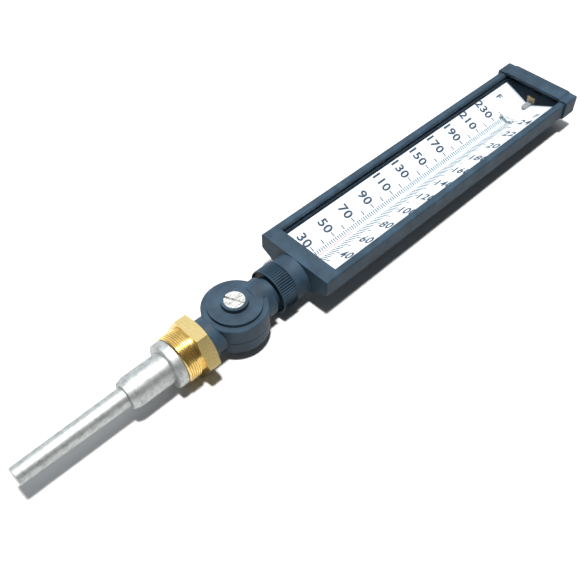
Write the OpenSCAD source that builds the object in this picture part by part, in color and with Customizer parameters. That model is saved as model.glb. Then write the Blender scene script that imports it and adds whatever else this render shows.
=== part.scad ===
// Adjustable-angle industrial thermometer: a V-shaped case with a scale and a
// spirit tube, a swivel and tilt joint, a union nut and a sensing stem.
// Millimetres. X runs from the stem's tip to the case's cap, and +Z is the side
// that is read. The origin is the centre of the union thread, on the stem's axis.

/* [Stem] */
// Distance from the thread's centre to the stem's tip
tip_reach = 109.2; // [95:1:160]
// Diameter of the thin stem at its tip
tip_d = 11.1; // [10.6:0.1:12]
// Diameter of the thin stem where it meets the thick part
root_d = 12.7; // [12:0.1:14]
// Distance from the thread's centre to the thick part's shoulder
shoulder_reach = 38.8; // [30:0.5:60]
// Diameter of the thick part
thick_d = 20.2; // [18:0.2:22]
// Diameter of the seating flange
flange_d = 29.8; // [27:0.2:30.5]
// Thickness of the seating flange
flange_t = 5.9; // [4:0.1:7]
// Diameter of the shank inside the union nut
shank_d = 20; // [18:0.5:20]

/* [Union nut] */
// Outside diameter of the 1-1/4 inch union thread
thread_d = 31.75; // [31.75]
// Length of the union thread
thread_len = 8.6; // [7:0.1:9]
// Distance across the flats of the hexagon
hex_af = 34.9; // [34:0.1:38]
// Distance from the thread's centre to the back of the hexagon
nut_back = 15.7; // [13:0.1:16]

/* [Joint] */
// Distance from the thread's centre to the tilt axis
pivot_x = 43.6; // [43:0.1:46]
// Diameter of the two joint halves
disc_d = 41.2; // [40:0.2:41.6]
// Height of each half's outer face from the stem's axis
disc_half = 10; // [9:0.1:11]
// Height of the parting face between the halves
seam_z = -1.2; // [-1.5:0.1:-1]
// Gap between the two halves
seam_gap = 0.4; // [0.3:0.1:0.6]
// Diameter of the raised pad on each half
pad_d = 33.8; // [32:0.2:35]
// Height of the raised pad
pad_h = 2.4; // [2:0.1:3]
// Diameter of the boss round the pivot screw
boss_d = 17; // [16.4:0.2:19]
// Height of the boss over the raised pad
boss_h = 3; // [2.8:0.1:3.4]
// Diameter of the lower arm
arm_d = 24.4; // [24:0.2:25]
// Diameter of the upper arm
upper_arm_d = 26; // [25:0.2:26.6]
// Distance from the tilt axis to the upper arm's end
arm_reach = 22.8; // [22:0.1:23.4]

/* [Lock nut] */
// Distance from the tilt axis to the lock nut's front
lock_nut_reach = 26.2; // [25.5:0.1:27]
// Length of the lock nut
lock_nut_len = 12.4; // [12:0.2:13]
// Outside diameter of the lock nut
lock_nut_d = 30.6; // [30:0.2:33]

/* [Case] */
// Distance from the thread's centre to the case's near end
case_x = 92; // [92:0.5:95]
// Length of the case up to the cap's front
case_len = 250.35; // [235:0.5:260]
// Width of the case
case_w = 58.6; // [57:0.2:62]
// Height of the case's front face over the stem's axis
front_z = 14.5; // [14:0.1:16]
// Height of the straight side walls
side_h = 11.8; // [10:0.1:12.4]
// Slope of the V-shaped back in degrees
back_slope = 28; // [26:0.5:30]
// Wall thickness of the case
wall = 3; // [2.5:0.1:3]
// Width of the window opening
opening_w = 46.9; // [44:0.1:48]
// Length of the solid frame before the window opening
near_frame = 12; // [10:0.5:14]

/* [Cap] */
// Length of the cap along the case
cap_len = 13.45; // [12:0.1:16]
// How far the cap stands proud of the case all round
cap_proud = 1.5; // [1.2:0.1:2]

/* [Scale] */
// Half width of the scale plate
plate_half = 22.3; // [21.8:0.1:22.6]
// Slope of the scale plate's two sides in degrees
plate_slope = 25.6; // [24:0.2:26]
// Thickness of the scale plate
plate_t = 0.8; // [0.6:0.1:1]
// Height of the fold in the scale plate
fold_z = -2.6; // [-2.8:0.1:-2.4]
// Distance from the thread's centre to the 30 degree mark
mark_30_x = 115; // [112:0.5:118]
// Length of one degree Fahrenheit on the scale
degree_len = 0.96; // [0.9:0.01:0.98]
// Outside diameter of the glass tube
tube_d = 5.2; // [4.6:0.1:5.4]
// Temperature that the spirit column shows
reading = 62; // [35:1:230]

/* [Hidden] */
$fn = 64;
bite = 0.5;             // how far a cutting tool runs past a face
slide_gap = 0.05;       // radial clearance of a running fit
free_gap = 0.35;        // clearance between bodies that don't touch
seat_gap = 0.03;        // clearance between pieces of one body

// Stem
flange_back = -thread_len / 2 - 0.15;
flange_front = flange_back - flange_t;
shoulder_chamfer_len = 4;
shoulder_chamfer = 1;
tip_chamfer = 0.4;
stem_bore_d = 8;
stem_tip_wall = 4;
shank_end = nut_back + free_gap + 5;
bulb_len = 58;
capillary_d = 1.2;
capillary_hole_d = 1.8;
stem_capillary_z = -3;

// Union nut
nut_front = -thread_len / 2;
hex_front = thread_len / 2 + 2.1;
hex_corner_d = hex_af / cos(30);
nut_relief_d = thread_d - 2.6;
hex_front_turn = 0.4;
hex_back_turn = 1.1;
nut_bore_d = shank_d + 2 * free_gap;

// Joint
seam_top = seam_z + seam_gap / 2;
seam_bottom = seam_z - seam_gap / 2;
disc_gap = 0.4;
chamber_d = 32;
chamber_half = 5;
hub_d = 11;
screw_d = 6;
screw_head_d = 13;
screw_head_h = 2.9;
screw_head_gap = 0.15;
screw_slot_w = 1.5;
screw_slot_h = 1.3;
screw_slot_turn = -64;
pad_top = disc_half + pad_h;
boss_top = pad_top + boss_h;
nut_pocket_af = 10.4;
pivot_nut_af = 10;
pivot_nut_h = 4.4;
pocket_floor = -chamber_half - 1.6;
spring_washer_t = 1;
spring_washer_d = 9.6;
loop_r = 11;
loop_z = 1;

// Swivel spigot and lock nut
arm_end = pivot_x + arm_reach;
lock_nut_x = pivot_x + lock_nut_reach;
lip_t = 2.5;
spigot_d = 20.4;
snap_ring_t = 1.3;
snap_ring_d = 25.2;
snap_groove_d = 18.4;
snap_ring_x = lock_nut_x + lip_t + free_gap;
washer_t = 0.9;
washer_x = snap_ring_x + snap_ring_t + seat_gap;
neck_start = washer_x + washer_t + 0.2;
neck_thread_d = 25.8;
neck_d = 28.4;
neck_step = lock_nut_x + lock_nut_len + free_gap;
spigot_end = case_x - 4.5;
capillary_passage_d = 4.4;

// Case
side_bottom = front_z - side_h;
back_half = 5;
back_z = side_bottom - (case_w / 2 - back_half) * tan(back_slope);
cap_front = case_x + case_len;
cap_back = cap_front + cap_len;
cap_wall = 2.5;
case_end = cap_back - cap_wall;
case_end_wall = 3.5;
window_t = 2;
window_z = front_z - 4.4;
window_half = opening_w / 2 + 1.9;
window_gap = 0.1;
rail_t = 1.4;
rail_inner = plate_half - 1;
cavity_half = case_w / 2 - wall;
edge_round = 0.8;
lip_chamfer = 1.2;

// Scale
plate_rise = plate_half * tan(plate_slope);
plate_drop = plate_t / cos(plate_slope);
rail_top = fold_z - plate_drop + rail_inner * tan(plate_slope) - 0.05;
plate_start = case_x + 6;
plate_end = cap_front + 2.15;
tube_z = fold_z + (tube_d / 2 + 0.06) / cos(plate_slope);
tube_bore_d = 1.4;
tube_start = case_x + 2.8;
tube_end = mark_30_x + degree_len * 213;
grommet_d = 8;
grommet_flange_d = 12;
grommet_flange_t = 2;
clip_x = mark_30_x + degree_len * 206.5;
clip_len = 3;
clip_half = 5;
clip_t = 0.9;
clip_hole_gap = 0.5;
tongue_tip = plate_end - 8.5;
tongue_w = 4;
tongue_t = 1.5;
post_x = plate_end + 0.8;
post_w = 6.6;
post_h = 8;

// ---- Shared shapes ----

// A round bar along X, from x0 to x1
module bar(x0, x1, d, z = 0) {
    translate([x0, 0, z]) rotate([0, 90, 0]) cylinder(h = x1 - x0, d = d);
}

// A cone along X, from x0 to x1
module taper(x0, x1, d0, d1) {
    translate([x0, 0, 0]) rotate([0, 90, 0]) cylinder(h = x1 - x0, d1 = d0, d2 = d1);
}

// A solid of revolution round the X axis, from [x, radius] points
module turned(points) {
    rotate([0, 90, 0]) rotate_extrude()
        polygon([for (p = points) [p[1], p[0]]]);
}

// An outline of [y, z] points drawn out along X, from x0 to x1
module along_x(x0, x1, points) {
    translate([x0, 0, 0]) rotate([90, 0, 90]) linear_extrude(height = x1 - x0) polygon(points);
}

// A block between two corners
module block(low, high) {
    translate(low) cube(high - low);
}

// An upright cylinder on the tilt axis, from z0 to z1
module pivot_cylinder(z0, z1, d) {
    translate([pivot_x, 0, z0]) cylinder(h = z1 - z0, d = d);
}

// The V-backed outline of the case, grown by g on every side
function case_outline(g) = let (h = case_w / 2 + g, lower = g * tan(back_slope / 2))
    [[-h, front_z + g - edge_round], [-h, side_bottom - lower], [-back_half, back_z - g],
     [back_half, back_z - g], [h, side_bottom - lower], [h, front_z + g - edge_round],
     [h - edge_round, front_z + g], [edge_round - h, front_z + g]];

// ---- Case ----

module case_cavity() {
    floor_half = back_half - 0.5;
    floor_z = back_z + wall;
    slope_top = floor_z + (cavity_half - floor_half) * tan(back_slope);
    along_x(case_x + case_end_wall, case_end + bite, [
        [-cavity_half, rail_top - rail_t], [-cavity_half, slope_top], [-floor_half, floor_z],
        [floor_half, floor_z], [cavity_half, slope_top], [cavity_half, rail_top - rail_t]]);
    block([case_x + case_end_wall, -rail_inner, rail_top - rail_t - bite],
          [case_end + bite, rail_inner, rail_top + bite]);
    block([case_x + case_end_wall, -opening_w / 2, rail_top],
          [case_end + bite, opening_w / 2, window_z + bite]);
    block([case_x + near_frame - 3, -window_half - window_gap, window_z - window_gap],
          [case_end + bite, window_half + window_gap, window_z + window_t + window_gap]);
    block([case_x + near_frame, -opening_w / 2, window_z],
          [case_end + bite, opening_w / 2, front_z + bite]);
    along_x(case_x + near_frame, case_end + bite, [
        [-opening_w / 2, front_z - lip_chamfer], [-opening_w / 2 - lip_chamfer, front_z],
        [-opening_w / 2 - lip_chamfer, front_z + bite], [opening_w / 2 + lip_chamfer, front_z + bite],
        [opening_w / 2 + lip_chamfer, front_z], [opening_w / 2, front_z - lip_chamfer]]);
}

module case_shell() {
    color([0.17, 0.22, 0.27]) difference() {
        union() {
            along_x(case_x, case_end, case_outline(0));
            bar(neck_start, neck_step, neck_thread_d);
            bar(neck_step, case_x + bite, neck_d);
        }
        case_cavity();
        bar(neck_start - bite, spigot_end + 0.5, spigot_d + 2 * slide_gap);
        bar(spigot_end, case_x + case_end_wall + bite, grommet_d + 2 * seat_gap);
    }
}

// The cap wraps the case's end and has a raised pad with bevelled ends in front
module end_cap() {
    pad_half = case_w / 2 - 6.5;
    pad_rise = 0.9;
    pad_bevel = 2.2;
    top = front_z + cap_proud;
    color([0.18, 0.23, 0.28]) difference() {
        union() {
            along_x(cap_front, cap_back, case_outline(cap_proud));
            along_x(cap_front, cap_back, [
                [-pad_half - pad_bevel, top - bite], [-pad_half - pad_bevel, top],
                [-pad_half, top + pad_rise], [pad_half, top + pad_rise],
                [pad_half + pad_bevel, top], [pad_half + pad_bevel, top - bite]]);
        }
        along_x(cap_front - bite, case_end + 0.05, case_outline(0.08));
    }
}

module window() {
    color([0.85, 0.92, 0.95, 0.35])
        block([case_x + near_frame - 2.8, -window_half, window_z],
              [cap_front + 6, window_half, window_z + window_t]);
}

// ---- Scale and tube ----

module scale_plate() {
    color([0.95, 0.96, 0.97]) difference() {
        along_x(plate_start, plate_end, [
            [-plate_half, fold_z + plate_rise], [0, fold_z], [plate_half, fold_z + plate_rise],
            [plate_half, fold_z + plate_rise - plate_drop], [0, fold_z - plate_drop],
            [-plate_half, fold_z + plate_rise - plate_drop]]);
        for (side = [-1, 1])
            translate([clip_x, side * clip_half, 0])
                block([-0.2, -clip_t / 2 - clip_hole_gap, fold_z - 2],
                      [clip_len + 0.2, clip_t / 2 + clip_hole_gap, fold_z + 8]);
    }
}

module glass_tube() {
    dome = 2;
    color([0.9, 0.95, 0.97, 0.4]) difference() {
        translate([0, 0, tube_z]) union() {
            bar(tube_start, tube_end, tube_d);
            taper(tube_end, tube_end + dome, tube_d, tube_d / 2);
        }
        bar(tube_start - bite, tube_end - 1, tube_bore_d, tube_z);
    }
}

module spirit_column() {
    column_end = mark_30_x + degree_len * (reading - 30);
    color([0.85, 0.12, 0.12])
        bar(tube_start + seat_gap, column_end, tube_bore_d - 2 * seat_gap, tube_z);
}

// A saddle that holds the tube's top, with a leg through each side of the plate
module tube_clip() {
    top = tube_z + tube_d / 2 + 0.1;
    color([0.12, 0.13, 0.15]) translate([clip_x, 0, 0]) {
        block([0, -clip_half - clip_t / 2, top], [clip_len, clip_half + clip_t / 2, top + clip_t]);
        for (side = [-1, 1])
            translate([0, side * clip_half, 0])
                block([0, -clip_t / 2, fold_z - 1.2], [clip_len, clip_t / 2, top + bite]);
    }
}

// A grey tongue with a round tip, which lies in the fold and holds the plate's end
module plate_tongue() {
    low = fold_z + tongue_w / 2 * tan(plate_slope) + 0.05;
    color([0.45, 0.47, 0.48]) {
        block([tongue_tip + tongue_w / 2, -tongue_w / 2, low], [post_x - seat_gap, tongue_w / 2, low + tongue_t]);
        intersection() {
            translate([tongue_tip + tongue_w / 2, 0, low]) cylinder(h = tongue_t, d = tongue_w);
            block([tongue_tip - 1, -tongue_w, low - 1], [tongue_tip + tongue_w / 2, tongue_w, low + 5]);
        }
    }
}

// A block on the cap's inner wall, which the tongue bears on
module plate_post() {
    color([0.72, 0.58, 0.36])
        block([post_x, -post_w / 2, fold_z - 0.6], [case_end + seat_gap, post_w / 2, fold_z - 0.6 + post_h]);
}

module tube_grommet() {
    inner_face = case_x + case_end_wall;
    color([0.08, 0.08, 0.09]) difference() {
        union() {
            bar(case_x - 2, inner_face + bite, grommet_d);
            bar(inner_face + seat_gap, inner_face + grommet_flange_t, grommet_flange_d);
        }
        bar(case_x - 2 - bite, inner_face + grommet_flange_t + bite, capillary_d + 0.1);
        bar(tube_start - 0.1, inner_face + grommet_flange_t + bite, tube_d + 2 * seat_gap, tube_z);
    }
}

module case_capillary() {
    color([0.72, 0.45, 0.3]) bar(arm_end - 1.8, tube_start - 0.15, capillary_d);
}

// ---- Swivel ----

module lock_nut() {
    edge = 0.8;
    back = lock_nut_x + lock_nut_len;
    half = lock_nut_d / 2;
    lip_bore = spigot_d / 2 + free_gap;
    thread_bore = neck_thread_d / 2 + slide_gap;
    color([0.16, 0.2, 0.25]) turned([
        [lock_nut_x, lip_bore], [lock_nut_x, half - edge], [lock_nut_x + edge, half],
        [back - edge, half], [back, half - edge], [back, thread_bore],
        [lock_nut_x + lip_t, thread_bore], [lock_nut_x + lip_t, lip_bore]]);
}

// One half of the tilt joint: its pad side lies at positive z
module joint_disc(z0, z1) {
    edge = 0.6;
    translate([pivot_x, 0, 0]) rotate_extrude() polygon([
        [0, z0], [disc_d / 2, z0], [disc_d / 2, z1 - edge], [disc_d / 2 - edge, z1],
        [pad_d / 2, z1], [pad_d / 2, z1 + pad_h], [0, z1 + pad_h]]);
}

// The ring-shaped room inside a half, which holds the capillary's loop
module loop_chamber(z0, z1) {
    difference() {
        pivot_cylinder(z0, z1, chamber_d);
        pivot_cylinder(z0 - bite, z1 + bite, hub_d);
    }
}

module upper_joint() {
    groove_end = snap_ring_x + snap_ring_t + seat_gap;
    color([0.2, 0.26, 0.32]) difference() {
        union() {
            joint_disc(seam_top, disc_half);
            pivot_cylinder(pad_top - bite, boss_top, boss_d);
            difference() {
                bar(pivot_x + 12, arm_end, upper_arm_d);
                pivot_cylinder(-arm_d, seam_top, disc_d + 2 * disc_gap);
            }
            bar(arm_end - bite, spigot_end, spigot_d);
        }
        loop_chamber(seam_top - bite, chamber_half);
        pivot_cylinder(seam_top - bite, boss_top, screw_d + 2 * slide_gap);
        pivot_cylinder(boss_top - screw_head_h, boss_top + bite, screw_head_d + 2 * screw_head_gap);
        bar(pivot_x + chamber_d / 2 - 1, arm_end - 1, capillary_hole_d, loop_z);
        bar(arm_end - 2.2, spigot_end + bite, capillary_passage_d);
        difference() {
            bar(snap_ring_x - seat_gap, groove_end, spigot_d + 1);
            bar(snap_ring_x - 1, groove_end + 1, snap_groove_d);
        }
    }
}

// An open ring in the spigot's groove, which holds the lock nut's lip
module snap_ring() {
    gap_w = 5;
    color([0.55, 0.56, 0.58]) difference() {
        bar(snap_ring_x, snap_ring_x + snap_ring_t, snap_ring_d);
        bar(snap_ring_x - bite, snap_ring_x + snap_ring_t + bite, snap_groove_d + 2 * seat_gap);
        block([snap_ring_x - bite, -gap_w / 2, 0], [snap_ring_x + snap_ring_t + bite, gap_w / 2, snap_ring_d]);
    }
}

module swivel_washer() {
    color([0.75, 0.7, 0.6]) difference() {
        bar(washer_x, washer_x + washer_t, snap_ring_d);
        bar(washer_x - bite, washer_x + washer_t + bite, spigot_d + 2 * seat_gap);
    }
}

module joint_capillary() {
    color([0.72, 0.45, 0.3]) union() {
        bar(pivot_x + loop_r, arm_end - 1.95, capillary_d, loop_z);
        translate([pivot_x, 0, loop_z]) rotate_extrude() translate([loop_r, 0]) circle(d = capillary_d);
    }
}

// ---- Stem ----

module lower_joint() {
    arm_start = nut_back + free_gap;
    color([0.2, 0.26, 0.32]) difference() {
        union() {
            mirror([0, 0, 1]) joint_disc(-seam_bottom, disc_half);
            difference() {
                bar(arm_start, pivot_x - 12, arm_d);
                pivot_cylinder(seam_bottom, arm_d, disc_d + 2 * disc_gap);
            }
        }
        loop_chamber(-chamber_half, seam_bottom + bite);
        pivot_cylinder(pocket_floor - bite, seam_bottom + bite, screw_d + 2 * free_gap);
        translate([pivot_x, 0, -pad_top - bite])
            cylinder(h = pad_top + bite + pocket_floor, d = nut_pocket_af / cos(30), $fn = 6);
        bar(arm_start - bite, shank_end + seat_gap, shank_d + 2 * seat_gap);
        bar(shank_end - bite, pivot_x - chamber_d / 2 + 1, capillary_hole_d, stem_capillary_z);
    }
}

// The turned stem: a thin part, a thick part, the seating flange and the shank
module stem() {
    thick = thick_d / 2;
    bore_start = stem_tip_wall - tip_reach;
    color([0.78, 0.8, 0.81]) difference() {
        turned([
            [-tip_reach, 0], [-tip_reach, tip_d / 2 - tip_chamfer],
            [tip_chamfer - tip_reach, tip_d / 2], [-shoulder_reach, root_d / 2],
            [-shoulder_reach, thick - shoulder_chamfer],
            [shoulder_chamfer_len - shoulder_reach, thick], [flange_front, thick],
            [flange_front, flange_d / 2 - 0.5], [flange_front + 0.5, flange_d / 2],
            [flange_back, flange_d / 2], [flange_back, shank_d / 2],
            [shank_end, shank_d / 2], [shank_end, 0]]);
        bar(bore_start, shank_end + bite, stem_bore_d);
    }
}

module sensing_bulb() {
    bulb_start = stem_tip_wall - tip_reach + 0.2;
    color([0.7, 0.5, 0.35]) bar(bulb_start, bulb_start + bulb_len, stem_bore_d - 0.2);
}

module stem_capillary() {
    bulb_end = stem_tip_wall - tip_reach + 0.2 + bulb_len;
    color([0.72, 0.45, 0.3])
        bar(bulb_end + seat_gap, pivot_x - loop_r - 0.6, capillary_d, stem_capillary_z);
}

// ---- Tilt fastening ----

module friction_washer() {
    color([0.6, 0.35, 0.25]) difference() {
        pivot_cylinder(seam_bottom + 0.02, seam_top - 0.06, hub_d);
        pivot_cylinder(seam_bottom - bite, seam_top + bite, screw_d + 2 * free_gap);
    }
}

module spring_washer() {
    color([0.6, 0.61, 0.63]) difference() {
        pivot_cylinder(pocket_floor - spring_washer_t - seat_gap, pocket_floor - seat_gap, spring_washer_d);
        pivot_cylinder(pocket_floor - 2, pocket_floor + bite, screw_d + 2 * free_gap);
        translate([pivot_x, 0, pocket_floor - 2]) rotate([0, 0, 40]) block([0, -0.5, 0], [8, 0.5, 3]);
    }
}

module pivot_nut() {
    top = pocket_floor - spring_washer_t - 2 * seat_gap;
    color([0.62, 0.63, 0.65]) difference() {
        translate([pivot_x, 0, top - pivot_nut_h])
            cylinder(h = pivot_nut_h, d = pivot_nut_af / cos(30), $fn = 6);
        pivot_cylinder(top - pivot_nut_h - bite, top + bite, screw_d + 2 * slide_gap);
    }
}

module pivot_screw() {
    head_base = boss_top - screw_head_h + slide_gap;
    head_top = boss_top - slide_gap;
    shank_low = pocket_floor - spring_washer_t - pivot_nut_h;
    color([0.86, 0.84, 0.8]) difference() {
        union() {
            pivot_cylinder(head_base, head_top, screw_head_d);
            pivot_cylinder(shank_low, head_base + bite, screw_d);
        }
        translate([pivot_x, 0, head_top - screw_slot_h]) rotate([0, 0, screw_slot_turn])
            block([-screw_head_d, -screw_slot_w / 2, 0], [screw_head_d, screw_slot_w / 2, 3]);
    }
}

// ---- Union nut ----

module union_nut() {
    thread_r = thread_d / 2;
    color([0.83, 0.66, 0.32]) difference() {
        union() {
            turned([
                [nut_front, 0], [nut_front, thread_r - 0.6], [nut_front, thread_r],
                [thread_len / 2, thread_r], [thread_len / 2, nut_relief_d / 2],
                [hex_front + bite, nut_relief_d / 2], [hex_front + bite, 0]]);
            intersection() {
                translate([hex_front, 0, 0]) rotate([0, 90, 0]) rotate([0, 0, 30])
                    cylinder(h = nut_back - hex_front, d = hex_corner_d, $fn = 6);
                turned_corners();
            }
        }
        bar(nut_front - bite, nut_back + bite, nut_bore_d);
    }
}

// The outline that turns back the hexagon's corners, a little in front and more at the back
module turned_corners() {
    flat = hex_af / 2;
    corner = hex_corner_d / 2 + 0.1;
    turned([
        [hex_front, 0], [hex_front, flat - 0.2], [hex_front + hex_front_turn, corner],
        [nut_back - hex_back_turn, corner], [nut_back, flat - 0.2], [nut_back, 0]]);
}

case_shell();
end_cap();
window();
scale_plate();
glass_tube();
spirit_column();
tube_clip();
plate_tongue();
plate_post();
tube_grommet();
case_capillary();
lock_nut();
upper_joint();
snap_ring();
swivel_washer();
joint_capillary();
lower_joint();
stem();
sensing_bulb();
stem_capillary();
friction_washer();
spring_washer();
pivot_nut();
pivot_screw();
union_nut();
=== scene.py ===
"""Looks for an adjustable-angle industrial thermometer that lies on its back on a pale table."""

import math

import bmesh
import bpy
from mathutils import Matrix, Vector


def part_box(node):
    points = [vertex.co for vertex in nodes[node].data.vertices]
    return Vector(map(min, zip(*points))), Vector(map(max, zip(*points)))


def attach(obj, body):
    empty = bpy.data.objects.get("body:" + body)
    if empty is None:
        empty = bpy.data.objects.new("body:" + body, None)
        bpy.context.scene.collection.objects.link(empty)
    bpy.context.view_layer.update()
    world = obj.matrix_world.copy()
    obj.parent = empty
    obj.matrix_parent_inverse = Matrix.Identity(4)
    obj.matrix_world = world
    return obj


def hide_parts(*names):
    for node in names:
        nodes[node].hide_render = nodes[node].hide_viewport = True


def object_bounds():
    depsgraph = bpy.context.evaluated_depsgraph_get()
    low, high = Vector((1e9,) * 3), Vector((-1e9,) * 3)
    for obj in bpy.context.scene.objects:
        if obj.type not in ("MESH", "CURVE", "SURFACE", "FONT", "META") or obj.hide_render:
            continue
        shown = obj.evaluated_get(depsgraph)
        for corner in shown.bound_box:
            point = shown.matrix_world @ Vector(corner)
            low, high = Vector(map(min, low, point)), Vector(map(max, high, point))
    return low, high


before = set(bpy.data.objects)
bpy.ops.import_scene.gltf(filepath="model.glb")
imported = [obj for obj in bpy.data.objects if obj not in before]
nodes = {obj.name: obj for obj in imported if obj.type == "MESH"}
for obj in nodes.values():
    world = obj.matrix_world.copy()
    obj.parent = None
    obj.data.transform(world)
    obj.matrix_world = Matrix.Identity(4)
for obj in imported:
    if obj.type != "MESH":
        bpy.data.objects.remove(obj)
cad_low, cad_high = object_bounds()

MM = 0.001

# ---- Sizes that the looks add to the frame, in metres ----

THREAD_PITCH = 25.4 * MM / 18
THREAD_DEPTH = 0.9 * MM
THREAD_STEPS = 60
KNURL_COUNT = 60
KNURL_DEPTH = 1.1 * MM
TURN_STEPS = 128

FOLD_Z = -2.6 * MM
PLATE_SLOPE = math.radians(25.6)
FIRST_DEGREE = 30
LAST_DEGREE = 240
FIRST_DEGREE_X = 115 * MM
DEGREE = 0.96 * MM

SIDES = {"left": 1, "right": -1}
MARK_RISE = 0.02 * MM
MARK_THICKNESS = 0.03 * MM
MARK_WIDTH = 0.8 * MM
TWO_DEGREE_REACH = {"left": (1.9 * MM, 5.0 * MM), "right": (1.0 * MM, 6.8 * MM)}
TEN_DEGREE_REACH = {"left": (5.6 * MM, 9.2 * MM), "right": (7.2 * MM, 10.4 * MM)}

NUMERAL_HEIGHT = 7.1 * MM
NUMERAL_INNER = {"left": 9.9 * MM, "right": 11.0 * MM}
NUMERAL_BOLDNESS = 0.026
NUMERAL_SPACING = 1.08
DIGIT_SHARE_OF_FONT = 0.72
UNIT_HEIGHT = 5.6 * MM
UNIT_X = 327.5 * MM
UNIT_INNER = 17 * MM


# ---- Small helpers ----

def link(name, data):
    """A new object for a mesh, curve, camera or light, in the scene's collection."""
    made = bpy.data.objects.new(name, data)
    bpy.context.scene.collection.objects.link(made)
    return made


def mesh_from(name, points, faces):
    """An object made from points and faces, with its normals outward."""
    mesh = bpy.data.meshes.new(name)
    mesh.from_pydata(points, [], faces)
    mesh.validate()
    shape = bmesh.new()
    shape.from_mesh(mesh)
    bmesh.ops.recalc_face_normals(shape, faces=shape.faces)
    shape.to_mesh(mesh)
    shape.free()
    return link(name, mesh)


def smooth(piece, angle):
    """Smooth shading, with edges sharper than the angle in degrees kept crisp."""
    piece.data.polygons.foreach_set("use_smooth", [True] * len(piece.data.polygons))
    piece.data.set_sharp_from_angle(angle=math.radians(angle))
    return piece


def turned(name, profile, steps=TURN_STEPS, radius=None, crisp_angle=35):
    """A closed solid turned round the X axis, from an outline of (x, radius) points.

    radius(x, r, angle) may change the radius of a point, for grooves that run along or round the axis.
    """
    points = []
    faces = []
    count = len(profile)
    for step in range(steps):
        angle = math.tau * step / steps
        for x, r in profile:
            reach = radius(x, r, angle) if radius else r
            points.append((x, reach * math.cos(angle), reach * math.sin(angle)))
    for step in range(steps):
        here = step * count
        there = (step + 1) % steps * count
        for i in range(count):
            j = (i + 1) % count
            faces.append((here + i, here + j, there + j, there + i))
    return smooth(mesh_from(name, points, faces), crisp_angle)


def intersect(piece, tool):
    """Keeps only what a piece shares with a tool, which is then removed."""
    step = piece.modifiers.new("intersect", "BOOLEAN")
    step.operation = "INTERSECT"
    step.solver = "EXACT"
    step.object = tool
    bpy.context.view_layer.update()
    graph = bpy.context.evaluated_depsgraph_get()
    shared = bpy.data.meshes.new_from_object(piece.evaluated_get(graph))
    piece.modifiers.clear()
    piece.data = shared
    bpy.data.objects.remove(tool)


def bevel(piece, width, segments=3):
    """Rounded edges by modifier: the mesh below stays as it is."""
    weld = piece.modifiers.new("weld", "WELD")
    weld.merge_threshold = 0.004 * MM
    edge = piece.modifiers.new("edge", "BEVEL")
    edge.width = width
    edge.segments = segments
    edge.limit_method = "ANGLE"
    edge.angle_limit = math.radians(30)
    edge.harden_normals = True
    normals = piece.modifiers.new("normals", "WEIGHTED_NORMAL")
    normals.keep_sharp = True


def clamp(value):
    """A value kept between 0 and 1."""
    return min(1.0, max(0.0, value))


# ---- Materials ----

def new_material(name, color, roughness, metallic=0.0):
    """A principled material; returns the material, its nodes, its links and the shader."""
    material = bpy.data.materials.new(name)
    material.use_nodes = True
    tree = material.node_tree
    shader = tree.nodes["Principled BSDF"]
    shader.inputs["Base Color"].default_value = (*color, 1)
    shader.inputs["Roughness"].default_value = roughness
    shader.inputs["Metallic"].default_value = metallic
    return material, tree.nodes, tree.links, shader


def object_place(tree_nodes, links, scale=(1, 1, 1)):
    """The object's own coordinates, stretched by scale."""
    place = tree_nodes.new("ShaderNodeTexCoord")
    stretch = tree_nodes.new("ShaderNodeMapping")
    stretch.inputs["Scale"].default_value = scale
    links.new(place.outputs["Object"], stretch.inputs["Vector"])
    return stretch.outputs["Vector"]


def noise(tree_nodes, links, place, scale, detail, roughness=0.55):
    """A noise value from 0 to 1."""
    made = tree_nodes.new("ShaderNodeTexNoise")
    made.inputs["Scale"].default_value = scale
    made.inputs["Detail"].default_value = detail
    made.inputs["Roughness"].default_value = roughness
    links.new(place, made.inputs["Vector"])
    return made.outputs["Fac"]


def ramp(tree_nodes, links, value, stops):
    """A colour ramp over a value; stops are (place, colour) pairs."""
    made = tree_nodes.new("ShaderNodeValToRGB")
    band = made.color_ramp
    band.elements[0].position = stops[0][0]
    band.elements[0].color = (*stops[0][1], 1)
    band.elements[1].position = stops[-1][0]
    band.elements[1].color = (*stops[-1][1], 1)
    for spot, color in stops[1:-1]:
        middle = band.elements.new(spot)
        middle.color = (*color, 1)
    links.new(value, made.inputs["Fac"])
    return made.outputs["Color"]


def spread(tree_nodes, links, value, low, high):
    """A value from 0 to 1 taken to the range low to high."""
    made = tree_nodes.new("ShaderNodeMapRange")
    made.inputs["To Min"].default_value = low
    made.inputs["To Max"].default_value = high
    links.new(value, made.inputs["Value"])
    return made.outputs["Result"]


def bump(tree_nodes, links, shader, height, distance):
    """Fine relief on the shader, from a height value."""
    made = tree_nodes.new("ShaderNodeBump")
    made.inputs["Strength"].default_value = 1.0
    made.inputs["Distance"].default_value = distance
    links.new(height, made.inputs["Height"])
    links.new(made.outputs["Normal"], shader.inputs["Normal"])


def shade(color, factor):
    """A colour made lighter or darker."""
    return tuple(min(1.0, part * factor) for part in color)


def moulded_plastic(name, color, roughness, grain):
    """Moulded plastic: faint cloudy tone, fine grain and small rubbed patches."""
    material, tree_nodes, links, shader = new_material(name, color, roughness)
    place = object_place(tree_nodes, links)
    cloud = noise(tree_nodes, links, place, scale=90, detail=4)
    stops = [(0.3, shade(color, 0.7)), (0.5, color), (0.7, shade(color, 1.35))]
    links.new(ramp(tree_nodes, links, cloud, stops), shader.inputs["Base Color"])
    rub = noise(tree_nodes, links, place, scale=320, detail=3)
    gloss = spread(tree_nodes, links, rub, roughness - 0.1, roughness + 0.12)
    links.new(gloss, shader.inputs["Roughness"])
    fine = noise(tree_nodes, links, place, scale=2600, detail=2)
    bump(tree_nodes, links, shader, fine, grain)
    shader.inputs["Specular IOR Level"].default_value = 0.24
    return material


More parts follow.
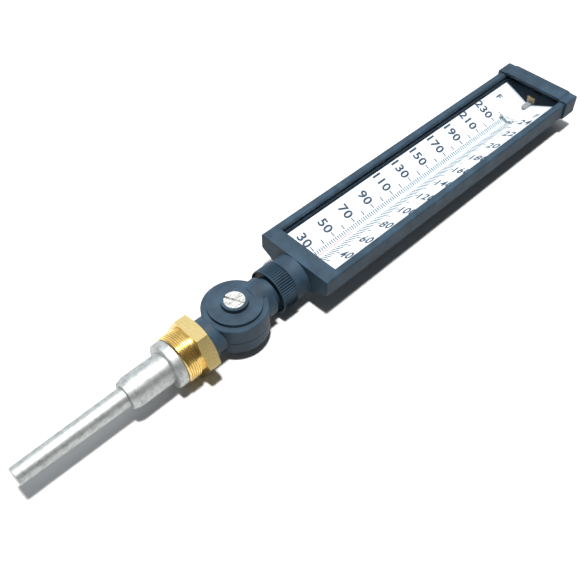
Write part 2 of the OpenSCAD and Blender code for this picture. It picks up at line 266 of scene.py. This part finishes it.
def turned_metal(name, color, roughness, line_depth, dull, spread_along=0.0, mottle=140):
    """Turned metal: lathe lines round the X axis, cloudy tone and small dull marks.

    dull is how dark the marks are, and mottle is how fine they are. spread_along stretches the highlight
    along the X axis, as fine lathe lines do.
    """
    material, tree_nodes, links, shader = new_material(name, color, roughness, metallic=1.0)
    along = object_place(tree_nodes, links, (1, 0.02, 0.02))
    lines = noise(tree_nodes, links, along, scale=5200, detail=2)
    place = object_place(tree_nodes, links)
    cloud = noise(tree_nodes, links, place, scale=mottle, detail=5, roughness=0.65)
    stops = [(0.32, shade(color, dull)), (0.52, color), (0.7, shade(color, 1.08))]
    links.new(ramp(tree_nodes, links, cloud, stops), shader.inputs["Base Color"])
    gloss = spread(tree_nodes, links, cloud, roughness + 0.1, roughness - 0.08)
    links.new(gloss, shader.inputs["Roughness"])
    bump(tree_nodes, links, shader, lines, line_depth)
    if spread_along:
        around = tree_nodes.new("ShaderNodeTangent")
        around.direction_type = "RADIAL"
        around.axis = "X"
        links.new(around.outputs["Tangent"], shader.inputs["Tangent"])
        shader.inputs["Anisotropic"].default_value = spread_along
        shader.inputs["Anisotropic Rotation"].default_value = 0.25
    return material


def scratched_metal(name, color, roughness):
    """Bright plated metal with fine dark scratches that run one way."""
    material, tree_nodes, links, shader = new_material(name, color, roughness, metallic=1.0)
    streaked = object_place(tree_nodes, links, (0.25, 1, 0.25))
    scratches = noise(tree_nodes, links, streaked, scale=1100, detail=4, roughness=0.7)
    stops = [(0.38, shade(color, 0.3)), (0.5, color), (0.7, shade(color, 1.1))]
    links.new(ramp(tree_nodes, links, scratches, stops), shader.inputs["Base Color"])
    gloss = spread(tree_nodes, links, scratches, roughness + 0.15, roughness - 0.05)
    links.new(gloss, shader.inputs["Roughness"])
    bump(tree_nodes, links, shader, scratches, 0.01 * MM)
    return material


def enamel(name, color, sky_reflection_paint, sky_reflection_start):
    """Smooth white enamel with a barely uneven face, and a painted bluish sky reflection as its colour past a
    given place along X.
    """
    material, tree_nodes, links, shader = new_material(name, color, roughness=0.32)
    place = object_place(tree_nodes, links)
    cloud = noise(tree_nodes, links, place, scale=60, detail=3)
    face = ramp(tree_nodes, links, cloud, [(0.3, shade(color, 0.97)), (0.7, color)])
    # Past the given place along X the colour is a painted sky reflection: a bluish tone instead of the
    # enamel's own white.
    parts = tree_nodes.new("ShaderNodeSeparateXYZ")
    links.new(place, parts.inputs["Vector"])
    beyond = tree_nodes.new("ShaderNodeMath")
    beyond.operation = "GREATER_THAN"
    beyond.inputs[1].default_value = sky_reflection_start
    links.new(parts.outputs["X"], beyond.inputs[0])
    mix = tree_nodes.new("ShaderNodeMix")
    mix.data_type = "RGBA"
    links.new(beyond.outputs["Value"], mix.inputs["Factor"])
    links.new(face, mix.inputs["A"])
    mix.inputs["B"].default_value = (*sky_reflection_paint, 1)
    links.new(mix.outputs["Result"], shader.inputs["Base Color"])
    links.new(spread(tree_nodes, links, cloud, 0.26, 0.4), shader.inputs["Roughness"])
    bump(tree_nodes, links, shader, cloud, 0.02 * MM)
    return material


def printed_ink(name, color):
    """Printed ink with slightly uneven cover."""
    material, tree_nodes, links, shader = new_material(name, color, roughness=0.5)
    place = object_place(tree_nodes, links)
    cover = noise(tree_nodes, links, place, scale=900, detail=2)
    tone = ramp(tree_nodes, links, cover, [(0.3, color), (0.75, shade(color, 1.35))])
    links.new(tone, shader.inputs["Base Color"])
    return material


def clear_sheet(name, color, edge_alpha, face_alpha):
    """Clear glass: nearly nothing face on, more towards its edges."""
    material, tree_nodes, links, shader = new_material(name, color, roughness=0.04)
    facing = tree_nodes.new("ShaderNodeLayerWeight")
    facing.inputs["Blend"].default_value = 0.35
    alpha = spread(tree_nodes, links, facing.outputs["Facing"], face_alpha, edge_alpha)
    links.new(alpha, shader.inputs["Alpha"])
    shader.inputs["IOR"].default_value = 1.49
    return material


SLATE = (0.0205, 0.0425, 0.0665)
slate_case = moulded_plastic("slate_case", SLATE, roughness=0.58, grain=0.02 * MM)
slate_joint = moulded_plastic("slate_joint", shade(SLATE, 0.96), roughness=0.54, grain=0.016 * MM)
white_clip = moulded_plastic("white_clip", (0.8, 0.83, 0.85), roughness=0.4, grain=0.01 * MM)
grey_plastic = moulded_plastic("grey_plastic", (0.2, 0.22, 0.23), roughness=0.5, grain=0.01 * MM)
rubber = moulded_plastic("grommet_rubber", (0.03, 0.03, 0.03), roughness=0.75, grain=0.02 * MM)
fibre = moulded_plastic("washer_fibre", (0.45, 0.33, 0.22), roughness=0.8, grain=0.02 * MM)

brass = turned_metal("union_brass", (0.82, 0.64, 0.28), roughness=0.24, line_depth=0.01 * MM,
                     dull=0.8, spread_along=0.5)
hexagon_brass = turned_metal("hexagon_brass", (0.78, 0.6, 0.26), roughness=0.26,
                             line_depth=0.004 * MM, dull=0.66, mottle=1400)
post_brass = turned_metal("post_brass", (0.42, 0.3, 0.16), roughness=0.42,
                          line_depth=0.004 * MM, dull=0.75)
aluminium = turned_metal("stem_aluminium", (0.5, 0.52, 0.515), roughness=0.58,
                         line_depth=0.012 * MM, dull=0.72, spread_along=0.3, mottle=320)
steel = turned_metal("spring_steel", (0.5, 0.5, 0.52), roughness=0.35, line_depth=0.004 * MM, dull=0.85)
copper = turned_metal("capillary_copper", (0.62, 0.36, 0.24), roughness=0.35,
                      line_depth=0.004 * MM, dull=0.85)
nickel = scratched_metal("screw_nickel", (0.88, 0.86, 0.82), roughness=0.24)

# The plate's far end takes a painted bluish sky reflection as its colour.
scale_white = enamel("scale_white", (0.7, 0.745, 0.78), sky_reflection_paint=(0.46, 0.56, 0.66),
                     sky_reflection_start=342.8 * MM)
ink = printed_ink("scale_ink", (0.018, 0.036, 0.068))
window_clear = clear_sheet("window_clear", (0.03, 0.05, 0.075), edge_alpha=0.2, face_alpha=0.03)
tube_glass = clear_sheet("tube_glass", (0.55, 0.72, 0.82), edge_alpha=0.28, face_alpha=0.05)
red_spirit = new_material("red_spirit", (0.92, 0.45, 0.46), roughness=0.2)[0]


def paint(piece, material):
    """Gives a piece one material."""
    if piece.data.materials:
        piece.data.materials[0] = material
        for spare in range(len(piece.data.materials) - 1, 0, -1):
            piece.data.materials.pop(index=spare)
    else:
        piece.data.materials.append(material)


def settle(piece, body, material_slot, material, *stands_for):
    """Paints a piece, makes it ride on a body and hides the CAD nodes that it replaces. material_slot is not
    used.
    """
    paint(piece, material)
    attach(piece, body)
    if stands_for:
        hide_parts(*stands_for)


# ---- Camera, table and light ----

def add_camera():
    """A camera on the stem's side of the object, about fifty degrees above the table."""
    azimuth = math.radians(-43.29)
    elevation = math.radians(49.39)
    roll = math.radians(-0.83)
    target = Vector((81.16 * MM, -7.98 * MM, 0))
    distance = 496 * MM
    level = math.cos(elevation)
    back = Vector((math.sin(azimuth) * level, -math.cos(azimuth) * level, math.sin(elevation)))
    level_right = (-back).cross(Vector((0, 0, 1))).normalized()
    level_up = level_right.cross(-back)
    right = level_right * math.cos(roll) + level_up * math.sin(roll)
    up = level_up * math.cos(roll) - level_right * math.sin(roll)
    data = bpy.data.cameras.new("camera")
    data.sensor_width = 36
    data.lens = 49.79
    data.clip_start = 0.01
    camera = link("camera", data)
    turn = Matrix((right, up, back)).transposed().to_4x4()
    camera.matrix_world = Matrix.Translation(target + back * distance) @ turn
    bpy.context.scene.camera = camera


def add_table():
    """A pale table under the union nut's hexagon and the cap's back, which the object rests on."""
    nut_low, nut_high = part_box("union_nut")
    cap_low, cap_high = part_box("end_cap")
    tilt = math.atan2(cap_low.z - nut_low.z, cap_high.x - nut_high.x)
    half = 3.0
    gap = 0.05 * MM
    corners = [(-half, -half, 0), (half, -half, 0), (half, half, 0), (-half, half, 0)]
    table = mesh_from("table", corners, [(0, 1, 2, 3)])
    table.rotation_euler = (0, -tilt, 0)
    table.location = (nut_high.x, 0, nut_low.z - gap)
    material, tree_nodes, links, shader = new_material("table_white", (0.62, 0.62, 0.62), roughness=0.6)
    shader.inputs["Specular IOR Level"].default_value = 0.1
    paint(table, material)


def add_area_light(name, direction, distance, size, power, color):
    """A square soft light that points at the object's middle."""
    data = bpy.data.lights.new(name, "AREA")
    data.size = size
    data.energy = power
    data.color = color
    light = link(name, data)
    toward = Vector(direction).normalized()
    middle = (cad_low + cad_high) / 2
    light.location = middle + toward * distance
    light.rotation_mode = "QUATERNION"
    light.rotation_quaternion = toward.to_track_quat("Z", "Y")


def add_surround():
    """A dim room with one bright side beyond the case's left."""
    dim = 0.11
    bright = 1.1
    window_edge = 0.3
    window_full = 0.8
    world = bpy.data.worlds.new("surround")
    world.use_nodes = True
    tree = world.node_tree
    sky = tree.nodes["Background"]
    sky.inputs["Color"].default_value = (0.9, 0.95, 1.0, 1)
    place = tree.nodes.new("ShaderNodeTexCoord")
    toward_window = tree.nodes.new("ShaderNodeVectorMath")
    toward_window.operation = "DOT_PRODUCT"
    toward_window.inputs[1].default_value = Vector((0.3, 0.85, 0.43)).normalized()
    tree.links.new(place.outputs["Generated"], toward_window.inputs[0])
    level = tree.nodes.new("ShaderNodeMapRange")
    level.interpolation_type = "SMOOTHSTEP"
    level.inputs["From Min"].default_value = window_edge
    level.inputs["From Max"].default_value = window_full
    level.inputs["To Min"].default_value = dim
    level.inputs["To Max"].default_value = bright
    tree.links.new(toward_window.outputs["Value"], level.inputs["Value"])
    tree.links.new(level.outputs["Result"], sky.inputs["Strength"])
    bpy.context.scene.world = world


def add_lights():
    """A small key light almost overhead in a dim room, shown in the plain Standard view."""
    add_area_light("key_light", direction=(-0.06, -0.05, 1.0), distance=2.6, size=0.3, power=128,
                   color=(1.0, 0.985, 0.96))
    add_surround()
    bpy.context.scene.view_settings.view_transform = "Standard"


# ---- CAD nodes that keep their shape ----

# Each node's material, and the width of its rounded edges in millimetres.
CAD_LOOKS = {
    "case_shell": (slate_case, 0.5), "end_cap": (slate_case, 0.35), "window": (window_clear, 0.1),
    "scale_plate": (scale_white, 0), "glass_tube": (tube_glass, 0), "spirit_column": (red_spirit, 0),
    "tube_clip": (white_clip, 0.2), "plate_tongue": (grey_plastic, 0.25), "plate_post": (post_brass, 0.35),
    "tube_grommet": (rubber, 0.2), "case_capillary": (copper, 0), "upper_joint": (slate_joint, 0.4),
    "snap_ring": (steel, 0.1), "swivel_washer": (fibre, 0.05), "joint_capillary": (copper, 0),
    "lower_joint": (slate_joint, 0.4), "sensing_bulb": (copper, 0.3), "stem_capillary": (copper, 0),
    "friction_washer": (fibre, 0), "spring_washer": (steel, 0.05), "pivot_nut": (steel, 0.2),
    "pivot_screw": (nickel, 0.12),
}

# Clear pieces, and the spirit inside one of them, cast no shadow on the scale.
SHADOWLESS = ("window", "glass_tube", "spirit_column")


def dress_cad_nodes():
    """Materials for the CAD nodes, and rounded edges where the real piece has them."""
    for name, (material, edge) in CAD_LOOKS.items():
        paint(nodes[name], material)
        if edge:
            bevel(nodes[name], edge * MM)
    for name in SHADOWLESS:
        nodes[name].visible_shadow = False


# ---- Lock nut ----

def build_lock_nut():
    """The swivel's lock nut: straight knurling behind a plain front rim, and a sunk front face."""
    low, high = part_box("lock_nut")
    outer = high.z
    rim = outer - 0.02 * MM
    lip_bore = 10.55 * MM
    thread_bore = 12.95 * MM
    lip_x = low.x + 2.5 * MM
    sunk_x = low.x + 1.6 * MM
    sunk_r = outer - 0.9 * MM
    chamfer = 0.35 * MM
    knurl_start = low.x + 0.7 * MM
    knurl_end = high.x - 0.9 * MM
    ledge = 0.1 * MM
    land = 0.1
    flank = 0.2

    def knurled(x, r, angle):
        """Points between the rims follow ridges with a flat land and straight flanks."""
        if r < outer - 0.005 * MM or not knurl_start - 0.01 * MM < x < knurl_end + 0.01 * MM:
            return r
        turn = angle / math.tau * KNURL_COUNT % 1.0
        groove = clamp((abs(turn - 0.5) - land) / flank)
        return outer - KNURL_DEPTH * groove

    profile = [
        (sunk_x, lip_bore), (sunk_x, sunk_r), (low.x, sunk_r + 0.2 * MM), (low.x, outer - chamfer),
        (low.x + chamfer, rim), (knurl_start - ledge, rim), (knurl_start, outer), (knurl_end, outer),
        (knurl_end + ledge, rim), (high.x - 0.3 * MM, outer - 0.05 * MM), (high.x, outer - 0.4 * MM),
        (high.x, thread_bore), (lip_x, thread_bore), (lip_x, lip_bore)]
    piece = turned("lock_nut_knurled", profile, KNURL_COUNT * 6, knurled, crisp_angle=25)
    settle(piece, "lock_nut", "case_plastic", slate_joint, "lock_nut")


# ---- Union nut ----

def build_threaded_sleeve(low, thread_end, hex_front, bore):
    """The union nut's sleeve: a cut helical thread with a chamfered start, and a relief behind it."""
    major = 15.875 * MM
    relief = major - 1.3 * MM
    start_chamfer = 0.7 * MM
    root_width = 1.25
    flank = 3.6

    def threaded(x, r, angle):
        """Points on the thread's outside follow one helical groove."""
        if r < major - 0.01 * MM or x > thread_end + 0.01 * MM:
            return r
        turn = (x / THREAD_PITCH - angle / math.tau) % 1.0
        cut = clamp(root_width - abs(turn - 0.5) * flank)
        entry = max(0.0, low.x + start_chamfer - x)
        return min(major - THREAD_DEPTH * cut, major - entry)

    length = thread_end - low.x
    run = [(low.x + length * i / THREAD_STEPS, major) for i in range(THREAD_STEPS + 1)]
    sleeve_end = hex_front + 0.5 * MM
    profile = [
        (low.x, bore), *run,
        (thread_end + 0.35 * MM, relief), (sleeve_end, relief), (sleeve_end, bore)]
    sleeve = turned("union_nut_threaded", profile, 144, threaded, crisp_angle=40)
    settle(sleeve, "union_nut", "union_brass", brass, "union_nut")


def build_hexagon(low, high, hex_front, bore):
    """The union nut's hexagon, with its corners turned back at both ends."""
    flat_half = high.z
    corner = flat_half / math.cos(math.radians(30))
    points = []
    for x in (hex_front, high.x):
        for side in range(6):
            angle = math.radians(60 * side)
            points.append((x, corner * math.cos(angle), corner * math.sin(angle)))
    faces = [tuple(range(6)), tuple(range(11, 5, -1))]
    faces += [(i, i + 6, (i + 1) % 6 + 6, (i + 1) % 6) for i in range(6)]
    prism = mesh_from("union_nut_hexagon", points, faces)

    face_radius = flat_half - 0.2 * MM
    clear = corner + 0.1 * MM
    front_turn = 0.4 * MM
    back_turn = 1.1 * MM
    past = 0.01 * MM
    cone = turned("cone", [
        (hex_front - past, bore), (hex_front - past, face_radius), (hex_front + front_turn, clear),
        (high.x - back_turn, clear), (high.x + past, face_radius), (high.x + past, bore)])
    intersect(prism, cone)
    smooth(prism, 20)
    bevel(prism, 0.12 * MM, segments=2)
    settle(prism, "union_nut", "union_brass", hexagon_brass)


def build_union_nut():
    """The brass union nut: a threaded sleeve and a hexagon, which ride together."""
    low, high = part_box("union_nut")
    bore = 10.35 * MM
    thread_end = -low.x
    hex_front = thread_end + 2.1 * MM
    build_threaded_sleeve(low, thread_end, hex_front, bore)
    build_hexagon(low, high, hex_front, bore)


# ---- Stem ----

def build_stem():
    """The turned aluminium stem with its rounded shoulder, undercut and seating flange."""
    low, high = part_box("stem")
    tip_r = 5.55 * MM
    tip_wall = 4 * MM
    root_r = 6.35 * MM
    centre = 0.01 * MM
    bore = 4 * MM
    thick = 10.1 * MM
    band = thick - 0.4 * MM
    shoulder = -38.8 * MM
    nose_end = shoulder + 4 * MM
    flange = high.z
    flange_back = -4.45 * MM
    flange_front = flange_back - 5.9 * MM
    shank = 10 * MM
    profile = [
        (low.x, centre), (low.x, tip_r - 0.5 * MM), (low.x + 0.15 * MM, tip_r - 0.15 * MM),
        (low.x + 0.5 * MM, tip_r), (shoulder - 0.4 * MM, root_r), (shoulder, root_r - 0.25 * MM),
        (shoulder, thick - 1.7 * MM), (shoulder + 0.25 * MM, thick - 1.3 * MM),
        (nose_end, thick - 0.12 * MM), (nose_end + 0.1 * MM, thick - 0.25 * MM),
        (nose_end + 0.25 * MM, thick),
        (flange_front - 1.1 * MM, thick), (flange_front - 0.9 * MM, band), (flange_front, band),
        (flange_front, flange - 1.0 * MM), (flange_front + 0.3 * MM, flange - 0.3 * MM),
        (flange_front + 1.0 * MM, flange), (flange_back - 0.4 * MM, flange), (flange_back, flange - 0.4 * MM),
        (flange_back, shank), (high.x, shank), (high.x, bore), (low.x + tip_wall, bore),
        (low.x + tip_wall, centre)]
    piece = turned("stem_turned", profile, crisp_angle=28)
    settle(piece, "stem", "stem_aluminium", aluminium, "stem")


# ---- Scale ----

def degree_x(degree):
    """Where a degree lies along the plate."""
    return FIRST_DEGREE_X + DEGREE * (degree - FIRST_DEGREE)


def plate_point(x, across, rise):
    """A point over the folded plate's face; across is measured flat from the fold, positive on the left."""
    side = 1 if across >= 0 else -1
    flat = abs(across)
    y = flat * math.cos(PLATE_SLOPE) - rise * math.sin(PLATE_SLOPE)
    z = FOLD_Z + flat * math.sin(PLATE_SLOPE) + rise * math.cos(PLATE_SLOPE)
    return (x, side * y, z)


def bar_on_plate(points, faces, x, inner, outer):
    """Adds a thin raised line across the plate to a mesh's points and faces."""
    start = len(points)
    for rise in (0.0, MARK_RISE + MARK_THICKNESS):
        for end_x in (x - MARK_WIDTH / 2, x + MARK_WIDTH / 2):
            for across in (inner, outer):
                points.append(plate_point(end_x, across, rise))
    for quad in ((0, 1, 3, 2), (4, 6, 7, 5), (0, 4, 5, 1), (2, 3, 7, 6), (0, 2, 6, 4), (1, 5, 7, 3)):
        faces.append(tuple(start + corner for corner in quad))


def mark_row(name, side_name, step, reach):
    """One row of marks across the plate, at each step of degrees on one side of the fold."""
    points = []
    faces = []
    inner, outer = (SIDES[side_name] * edge for edge in reach)
    for degree in range(FIRST_DEGREE, LAST_DEGREE + 1, step):
        bar_on_plate(points, faces, degree_x(degree), inner, outer)
    settle(mesh_from(name + "_" + side_name, points, faces), "case", "scale_white", ink)


def build_marks():
    """Two-degree marks beside the tube and ten-degree marks beyond them, on both sides."""
    for side_name in SIDES:
        mark_row("two_degree_marks", side_name, 2, TWO_DEGREE_REACH[side_name])
        mark_row("ten_degree_marks", side_name, 10, TEN_DEGREE_REACH[side_name])


def text_mesh(text, height):
    """Lettering as a thin flat solid: x to the right, y up, its digits as tall as height.

    The letters are filled at a size of one metre and then shrunk, which keeps their outlines whole.
    """
    size = height / DIGIT_SHARE_OF_FONT
    curve = bpy.data.curves.new("lettering", "FONT")
    curve.body = text
    curve.resolution_u = 4
    curve.offset = NUMERAL_BOLDNESS
    curve.extrude = MARK_THICKNESS / 2 / size
    curve.space_character = NUMERAL_SPACING
    holder = link("lettering", curve)
    bpy.context.view_layer.update()
    graph = bpy.context.evaluated_depsgraph_get()
    mesh = bpy.data.meshes.new_from_object(holder.evaluated_get(graph))
    bpy.data.objects.remove(holder)
    bpy.data.curves.remove(curve)
    mesh.transform(Matrix.Scale(size, 4))
    return mesh


def build_lettering(name, entries, height):
    """Joins words into one piece; entries are (text, x of the middle, inner edge, side)."""
    gathered = bmesh.new()
    for text, x, inner, side in entries:
        mesh = text_mesh(text, height)
        xs = [v.co.x for v in mesh.vertices]
        ys = [v.co.y for v in mesh.vertices]
        middle = (min(ys) + max(ys)) / 2
        for v in mesh.vertices:
            across = inner + max(xs) - v.co.x if side > 0 else -(inner + v.co.x - min(xs))
            v.co = plate_point(x + v.co.y - middle, across, MARK_RISE + v.co.z + MARK_THICKNESS / 2)
        gathered.from_mesh(mesh)
        bpy.data.meshes.remove(mesh)
    made = bpy.data.meshes.new(name)
    gathered.to_mesh(made)
    gathered.free()
    settle(link(name, made), "case", "scale_white", ink)


def build_numerals():
    """Numerals every twenty degrees, from 30 on the left and from 40 on the right, and two unit letters."""
    for side_name, first in (("left", 30), ("right", 40)):
        inner = NUMERAL_INNER[side_name]
        side = SIDES[side_name]
        entries = [(str(degree), degree_x(degree), inner, side)
                   for degree in range(first, LAST_DEGREE + 1, 20)]
        build_lettering("numerals_" + side_name, entries, NUMERAL_HEIGHT)
    letters = [("F", UNIT_X, UNIT_INNER, side) for side in SIDES.values()]
    build_lettering("unit_letters", letters, UNIT_HEIGHT)


# ---- Build ----

add_camera()
add_table()
add_lights()
dress_cad_nodes()
build_lock_nut()
build_union_nut()
build_stem()
build_marks()
build_numerals()

bpy.context.view_layer.update()
